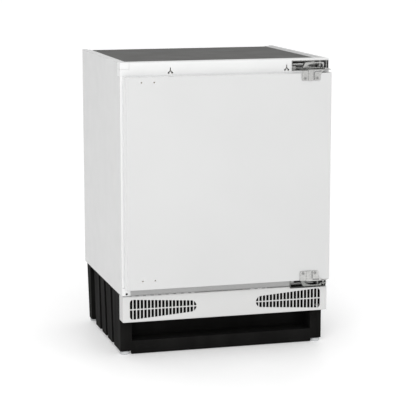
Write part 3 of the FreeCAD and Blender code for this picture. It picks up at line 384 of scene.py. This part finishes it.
def circuit_board():
    s = Surface("circuit_board", (0.03, 0.20, 0.08), roughness=0.4, Coat_Weight=0.3)
    s.tint(s.cells(0.003, output="Distance"), 0.4)
    return s.bump(s.cells(0.002, output="Distance"), 0.0001, 0.4).material


def black_enamel():
    """Sprayed black paint over steel."""
    s = Surface("black_enamel", (0.014, 0.014, 0.015), roughness=0.32, Coat_Weight=0.3)
    return s.tint(s.noise(0.03), 0.3).gloss(s.noise(0.012, 3.0), 0.08).bump(s.noise(0.003), 0.00008, 0.5).material


def cast_block():
    s = Surface("cast_block", (0.16, 0.16, 0.165), metallic=0.7, roughness=0.7)
    return s.tint(s.noise(0.004, 4.0), 0.2).bump(s.noise(0.0015, 4.0), 0.0003, 0.8).material


def black_rubber():
    s = Surface("black_rubber", (0.018, 0.018, 0.018), roughness=0.78)
    return s.tint(s.noise(0.004, 3.0), 0.25).bump(s.noise(0.0008, 2.0), 0.00008, 0.7).material


def copper():
    """Drawn copper with patches of dull oxide."""
    s = Surface("copper", (0.72, 0.34, 0.20), metallic=1.0, roughness=0.34)
    s.link(s.ramp(s.noise(0.02, 4.0), (0.42, 0.18, 0.10), (0.80, 0.42, 0.26)), s.shader.inputs["Base Color"])
    return s.gloss(s.noise(0.012, 3.0), 0.1).bump(s.noise(0.001, 2.0), 0.00002, 0.4).material


def foot_plastic():
    s = Surface("foot_plastic", (0.50, 0.51, 0.52), roughness=0.5)
    s.tint(s.noise(0.005, 3.0), 0.06).gloss(s.noise(0.004), 0.06)
    return s.bump(s.noise(0.0008), 0.00004, 0.6).material


SURFACES = {make.__name__: make() for make in (
    white_sheet, dark_sheet, galvanised, white_plastic, liner_plastic, black_plastic, foam, clear_glass,
    trim_plastic, clear_plastic, gasket, hinge_chrome, pin_steel, aluminium_plate, circuit_board, black_enamel,
    cast_block, black_rubber, copper, foot_plastic)}


def lacquer(name, colour, painted_seam_shade, y_from, y_to):
    """Lacquered sheet in a white of its own, with painted shade in its seams and painted light past a line along Y.
    """
    s = Surface(name, colour, roughness=0.36, edge=0.0012, Coat_Weight=0.2)
    # Painted shade darkens the seams, and painted light lifts the colour by 30% past the line along Y.
    s.tint(s.noise(0.25), 0.012).painted_crevice_shade(0.004, painted_seam_shade).painted_light_beyond(y_from, y_to, 0.30)
    s.gloss(s.noise(0.05, 3.0), 0.04)
    return s.bump(s.noise(0.0022, 1.0), 0.00002, 0.5).bump(s.noise(0.12), 0.0002, 0.2).material


def paint_cad_nodes():
    """Gives each node its slot's material, but some of them a copy of their own: darker whites for the side panels,
    door and grille, and a darker steel for the lower hinge as painted shade.
    """
    # The side panels get a darker white that is painted shade on their sides; their front stile is painted 30%
    # lighter.
    side = lacquer("side_sheet", (0.61, 0.612, 0.61), 1.0, -0.2293, -0.2295)
    # The lower hinge's links and cup get a darker copy of the hinge steel: painted shade under the door.
    shaded_lower_hinge_steel = pressed_steel("lower_hinge_painted_shade", (0.27, 0.275, 0.265), 0.34, 0.15)
    special = {"left_side_panel": side, "right_side_panel": side,
               "lower_outer_link": shaded_lower_hinge_steel, "lower_inner_link": shaded_lower_hinge_steel, "lower_hinge_cup": shaded_lower_hinge_steel,
               # The door gets a darker white of its own, with painted shade in its seams and its folded edges
               # painted 30% lighter.
               "door_panel": lacquer("door_sheet", (0.575, 0.577, 0.575), 0.35, -0.2714, -0.2712),
               "plinth_grille": moulding("grille_plastic", (0.585, 0.585, 0.58), 0.42, 0.6)}
    for name, node in NODES.items():
        surface = special.get(name, SURFACES[SLOT_OF[name]])
        if not node.data.materials:
            node.data.materials.append(surface)
        for slot in node.material_slots:
            slot.material = surface


# Pieces shaped here in place of their plain counterparts

def make_piece(name, points, faces, slot, *nodes):
    """A mesh given in millimetres that stands for some nodes of one body."""
    mesh = bpy.data.meshes.new(name)
    mesh.from_pydata([Vector(p) * MM for p in points], [], faces)
    mesh.polygons.foreach_set("use_smooth", [True] * len(mesh.polygons))
    mesh.set_sharp_from_angle(angle=math.radians(38.0))
    mesh.materials.append(SURFACES[slot])
    piece = bpy.data.objects.new(name, mesh)
    bpy.context.scene.collection.objects.link(piece)
    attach(piece, BODY_OF[nodes[0]])
    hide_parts(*nodes)


def merged(*shapes):
    """Several shapes, each a list of points and one of faces, put into one."""
    points, faces = [], []
    for more_points, more_faces in shapes:
        start = len(points)
        points += more_points
        faces += [tuple(start + i for i in face) for face in more_faces]
    return points, faces


def skinned(rings, closed=False):
    """Faces across a row of rings with equal counts; closed joins the last ring to the first."""
    count = len(rings[0])
    points = [p for ring in rings for p in ring]
    faces = []
    for i in range(len(rings) if closed else len(rings) - 1):
        a, b = i * count, (i + 1) % len(rings) * count
        faces += [(a + k, a + (k + 1) % count, b + (k + 1) % count, b + k) for k in range(count)]
    if not closed:
        faces += [tuple(reversed(range(count))), tuple(range(len(points) - count, len(points)))]
    return points, faces


def turned(profile, centre, axis, sides=40, flutes=0, flute_depth=0.0):
    """A turned part: profile pairs a place along the axis with a radius."""
    along = Vector(axis)
    across = along.orthogonal().normalized()
    third = along.cross(across)
    rings = []
    for place, radius in profile:
        ring = []
        for k in range(sides):
            turn = 2 * math.pi * k / sides
            r = radius - (flute_depth * (0.5 + 0.5 * math.cos(flutes * turn)) if flutes else 0.0)
            ring.append(Vector(centre) + along * place + (across * math.cos(turn) + third * math.sin(turn)) * r)
        rings.append(ring)
    return skinned(rings)


def coil(centre, start, end, radius, wire, turns):
    """A closely wound spring along X."""
    steps, sides = 18, 8
    rings = []
    for i in range(turns * steps + 1):
        turn = 2 * math.pi * i / steps
        out = Vector((0, math.cos(turn), math.sin(turn)))
        middle = Vector(centre) + out * radius
        middle.x = start + (end - start) * i / (turns * steps)
        rings.append([middle + (out * math.cos(a) + Vector((1, 0, 0)) * math.sin(a)) * wire
                      for a in [2 * math.pi * k / sides for k in range(sides)]])
    return skinned(rings)


def hinge_springs():
    """A wound spring on a stepped guide rod in each hinge cup."""
    shapes = []
    for level in HINGE_LEVELS:
        centre = (0.0, SPRING_Y, level)
        rod = [(190.2, 0.5), (190.2, 2.6), (190.8, 3.0), (224, 3.0), (224, 5.6), (224.6, 6.2), (227.4, 6.2),
               (228, 5.6), (228, 3.0), (240, 3.0), (240, 4.1), (240.5, 4.5), (259.5, 4.5), (260, 4.1), (260, 3.0),
               (261.6, 3.0), (262.2, 2.4), (262.2, 0.5)]
        shapes += [coil(centre, 194.6, 223.4, 6.05, 0.92, 15), turned(rod, centre, (1, 0, 0), 28)]
    make_piece("wound_springs", *merged(*shapes), "pin_steel", "hinge_springs")


def levelling_foot(name, x, y):
    """A round pad with a rolled rim and a threaded stem."""
    pad = [(0.0, 8.0), (0.0, 10.6), (0.5, 12.4), (1.8, 13.6), (3.6, 14.0), (6.0, 14.0), (7.8, 13.4), (9.2, 12.0),
           (9.9, 10.0), (10.0, 7.0)]
    thread = [(10.0 + 0.75 * i, 4.0 if i % 2 else 3.45) for i in range(45)] + [(44.0, 3.0)]
    shapes = [turned(pad, (x, y, 0), (0, 0, 1), 48), turned([(9.6, 3.4)] + thread, (x, y, 0), (0, 0, 1), 24)]
    make_piece("turned_" + name, *merged(*shapes), "foot_plastic", name)


def rounded_loop(half_x, z0, z1, radius, y, steps=6):
    """A rectangle with round corners, seen from the front."""
    loop = []
    for cx, cz, start in ((half_x, z1, 0), (-half_x, z1, 90), (-half_x, z0, 180), (half_x, z0, 270)):
        ax = cx - math.copysign(radius, cx)
        az = cz + (radius if start >= 180 else -radius)
        for i in range(steps + 1):
            turn = math.radians(start + 90.0 * i / steps)
            loop.append((ax + radius * math.cos(turn), y, az + radius * math.sin(turn)))
    return loop


def door_gasket():
    """Bellows and magnet tube of the door seal, with an inner lip."""
    section = [(0.0, -236.5), (0.0, -235.9), (0.9, -235.3), (0.9, -234.9), (0.1, -234.3), (0.0, -232.4),
               (0.5, -231.8), (1.4, -231.6), (8.0, -231.6), (8.8, -231.9), (9.2, -232.5), (9.0, -234.1),
               (8.2, -234.8), (8.4, -235.3), (10.5, -235.5), (13.4, -235.0), (14.6, -235.2), (15.0, -235.8),
               (15.0, -236.5)]
    rings = [rounded_loop(SEAL_HALF - inset, SEAL_LOW + inset, SEAL_HIGH - inset,
                          max(5.0 - 0.3 * inset, 1.0), y) for inset, y in section]
    make_piece("door_seal", *skinned(rings, closed=True), "gasket", "door_gasket")


def thermostat_dial():
    """A fluted knob with a raised pointer bar."""
    centre = (0.0, DIAL_Y, DIAL_Z)
    knob = [(201.6, 15.6), (201.2, 16.6), (200.6, 17.0), (194.0, 16.8), (192.6, 16.0), (191.6, 14.4), (191.6, 9.0),
            (192.4, 8.2), (192.4, 0.5)]
    shaft = [(201.0, 2.9), (215.0, 3.0), (215.0, 0.5)]
    bar = skinned([[(x, DIAL_Y + y, DIAL_Z + z) for y, z in ((-w, -h), (w, -h), (w, h), (-w, h))]
                   for x, w, h in ((192.8, 2.5, 15.0), (189.4, 2.3, 14.6), (188.3, 1.9, 14.0), (188.0, 1.2, 13.0))])
    fluted = turned(knob, centre, (1, 0, 0), 144, 36, 0.8)
    make_piece("fluted_dial", *merged(fluted, turned(shaft, centre, (1, 0, 0), 24), bar), "white_plastic",
               "thermostat_dial")


def back_panel():
    """Rear sheet with a row of pressed beads and a turned rim."""
    xs = [-BACK_HALF, 1.0 - BACK_HALF]
    zs = [BACK_LOW, BACK_LOW + 1.0, 222.0, 228.0, 233.0, 240.0, 490.0, 745.0, 752.0, 757.0, 763.0, BACK_HIGH - 1.0,
          BACK_HIGH]
    beads = [x for x in range(-235, 240, 50) if abs(x) > 20]
    for x in beads:
        xs += [x + d for d in (-10.0, -8.0, -5.0, 0.0, 5.0, 8.0, 10.0)]
    xs += [BACK_HALF - 1.0, BACK_HALF]

    def face_y(x, z):
        if min(BACK_HALF - abs(x), z - BACK_LOW, BACK_HIGH - z) < 0.5:
            return BACK_FACE - 0.4
        near = min(abs(x - bead) for bead in beads)
        reach = min(max((9.0 - near) / 4.0, 0.0), 1.0) * min(max(min(z - 225.0, 760.0 - z) / 8.0, 0.0), 1.0)
        return BACK_FACE + BEAD_HEIGHT * reach * reach * (3 - 2 * reach)

    outer = [[(x, face_y(x, z), z) for x in xs] for z in zs]
    inner = [[(x, face_y(x, z) - 0.7, z) for x in xs] for z in zs]
    columns, rows = len(xs), len(zs)
    points = [p for row in outer + inner for p in row]
    faces = []
    for j in range(rows - 1):
        for i in range(columns - 1):
            a = j * columns + i
            b = a + rows * columns
            faces += [(a + 1, a, a + columns, a + columns + 1), (b, b + 1, b + columns + 1, b + columns)]
    rim = list(range(columns)) + [j * columns + columns - 1 for j in range(1, rows)]
    rim += [(rows - 1) * columns + i for i in range(columns - 2, -1, -1)]
    rim += [j * columns for j in range(rows - 2, 0, -1)]
    for k, a in enumerate(rim):
        b = rim[(k + 1) % len(rim)]
        faces.append((a, b, b + rows * columns, a + rows * columns))
    make_piece("beaded_back", points, faces, "galvanised", "back_panel")


make_camera()
make_world(0.86, 0.12)
make_floor()
area_light("key", (-2.3, -4.2, 2.6), (0.0, -0.2, 0.45), (2.6, 2.6), 112.0)
bpy.context.scene.view_settings.view_transform = "Standard"
paint_cad_nodes()
hinge_springs()
for foot, place in FEET.items():
    levelling_foot(foot, *place)
door_gasket()
thermostat_dial()
back_panel()
